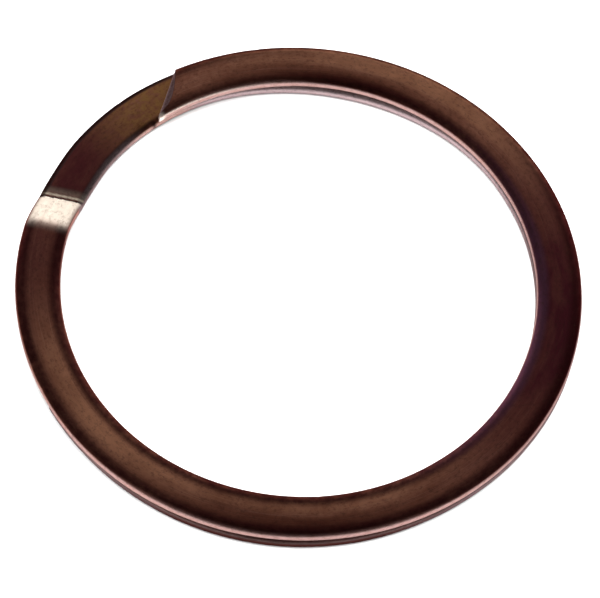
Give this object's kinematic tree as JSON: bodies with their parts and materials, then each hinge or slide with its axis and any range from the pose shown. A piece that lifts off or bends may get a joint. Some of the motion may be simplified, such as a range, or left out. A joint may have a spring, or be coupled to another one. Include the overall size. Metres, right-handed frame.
{
  "type": "split key ring",
  "caption": "Flat-wire split key ring: spring wire coiled on itself and joined by a crank, with free tips that pry open to take keys and fobs.",
  "frame": {"origin": "ring centre, on the plane the ring rests on", "axes": "+Z along the ring axis, upper coil on top; the crank that joins the coils is centred on -X"},
  "size_m": [0.032, 0.032, 0.0016],
  "materials": {
    "wire": "dark antique bronze plating on hardened spring steel, satin, worn paler along the edges"
  },
  "bodies": {
    "ring_root": {"crank_bend": "wire", "upper_fixed_run": "wire", "lower_fixed_run": "wire"},
    "upper_span_1_body": {"upper_span_1": "wire"},
    "upper_span_2_body": {"upper_span_2": "wire"},
    "upper_span_3_body": {"upper_span_3": "wire"},
    "upper_span_4_body": {"upper_span_4": "wire"},
    "upper_span_5_body": {"upper_span_5": "wire"},
    "upper_tip_body": {"upper_tip": "wire"},
    "lower_span_1_body": {"lower_span_1": "wire"},
    "lower_span_2_body": {"lower_span_2": "wire"},
    "lower_span_3_body": {"lower_span_3": "wire"},
    "lower_span_4_body": {"lower_span_4": "wire"},
    "lower_span_5_body": {"lower_span_5": "wire"},
    "lower_tip_body": {"lower_tip": "wire"}
  },
  "joints": [
    {"name": "upper_lift", "type": "hinge", "parent": "ring_root", "child": "upper_span_1_body", "pos_m": [0.01208, -0.0105, 0.00118], "axis": [0.6561, 0.7547, 0], "range_deg": [0, 1.59], "stiffness_Nm_per_rad": 0.7},
    {"name": "upper_flex_2", "type": "hinge", "parent": "upper_span_1_body", "child": "upper_span_2_body", "pos_m": [0.01571, -0.00305, 0.00118], "axis": [0.4288, 0.9034, 0], "range_deg": [0, 1.54]},
    {"name": "upper_flex_3", "type": "hinge", "parent": "upper_span_2_body", "child": "upper_span_3_body", "pos_m": [0.01513, 0.00521, 0.00118], "axis": [0.1682, 0.9858, 0], "range_deg": [0, 1.38]},
    {"name": "upper_flex_4", "type": "hinge", "parent": "upper_span_3_body", "child": "upper_span_4_body", "pos_m": [0.0105, 0.01208, 0.00118], "axis": [-0.1094, 0.994, 0], "range_deg": [0, 1.13]},
    {"name": "upper_flex_5", "type": "hinge", "parent": "upper_span_4_body", "child": "upper_span_5_body", "pos_m": [0.00305, 0.01571, 0.00118], "axis": [-0.3898, 0.9209, 0], "range_deg": [0, 0.798]},
    {"name": "upper_flex_6", "type": "hinge", "parent": "upper_span_5_body", "child": "upper_tip_body", "pos_m": [-0.00521, 0.01513, 0.00118], "axis": [-0.6749, 0.7379, 0], "range_deg": [0, 0.418]},
    {"name": "lower_lift", "type": "hinge", "parent": "ring_root", "child": "lower_span_1_body", "pos_m": [0.01208, 0.0105, 0.00038], "axis": [0.6561, -0.7547, 0], "range_deg": [0, 1.59], "stiffness_Nm_per_rad": 0.7},
    {"name": "lower_flex_2", "type": "hinge", "parent": "lower_span_1_body", "child": "lower_span_2_body", "pos_m": [0.01571, 0.00305, 0.00038], "axis": [0.4288, -0.9034, 0], "range_deg": [0, 1.54]},
    {"name": "lower_flex_3", "type": "hinge", "parent": "lower_span_2_body", "child": "lower_span_3_body", "pos_m": [0.01513, -0.00521, 0.00038], "axis": [0.1682, -0.9858, 0], "range_deg": [0, 1.38]},
    {"name": "lower_flex_4", "type": "hinge", "parent": "lower_span_3_body", "child": "lower_span_4_body", "pos_m": [0.0105, -0.01208, 0.00038], "axis": [-0.1094, -0.994, 0], "range_deg": [0, 1.13]},
    {"name": "lower_flex_5", "type": "hinge", "parent": "lower_span_4_body", "child": "lower_span_5_body", "pos_m": [0.00305, -0.01571, 0.00038], "axis": [-0.3898, -0.9209, 0], "range_deg": [0, 0.798]},
    {"name": "lower_flex_6", "type": "hinge", "parent": "lower_span_5_body", "child": "lower_tip_body", "pos_m": [-0.00521, -0.01513, 0.00038], "axis": [-0.6749, -0.7379, 0], "range_deg": [0, 0.418]}
  ],
  "couplings": [
    {"joint": "upper_flex_2", "follows": "upper_lift", "ratio": 0.966},
    {"joint": "upper_flex_3", "follows": "upper_lift", "ratio": 0.8663},
    {"joint": "upper_flex_4", "follows": "upper_lift", "ratio": 0.7077},
    {"joint": "upper_flex_5", "follows": "upper_lift", "ratio": 0.5012},
    {"joint": "upper_flex_6", "follows": "upper_lift", "ratio": 0.2617},
    {"joint": "lower_flex_2", "follows": "lower_lift", "ratio": 0.966},
    {"joint": "lower_flex_3", "follows": "lower_lift", "ratio": 0.8663},
    {"joint": "lower_flex_4", "follows": "lower_lift", "ratio": 0.7077},
    {"joint": "lower_flex_5", "follows": "lower_lift", "ratio": 0.5012},
    {"joint": "lower_flex_6", "follows": "lower_lift", "ratio": 0.2617}
  ]
}
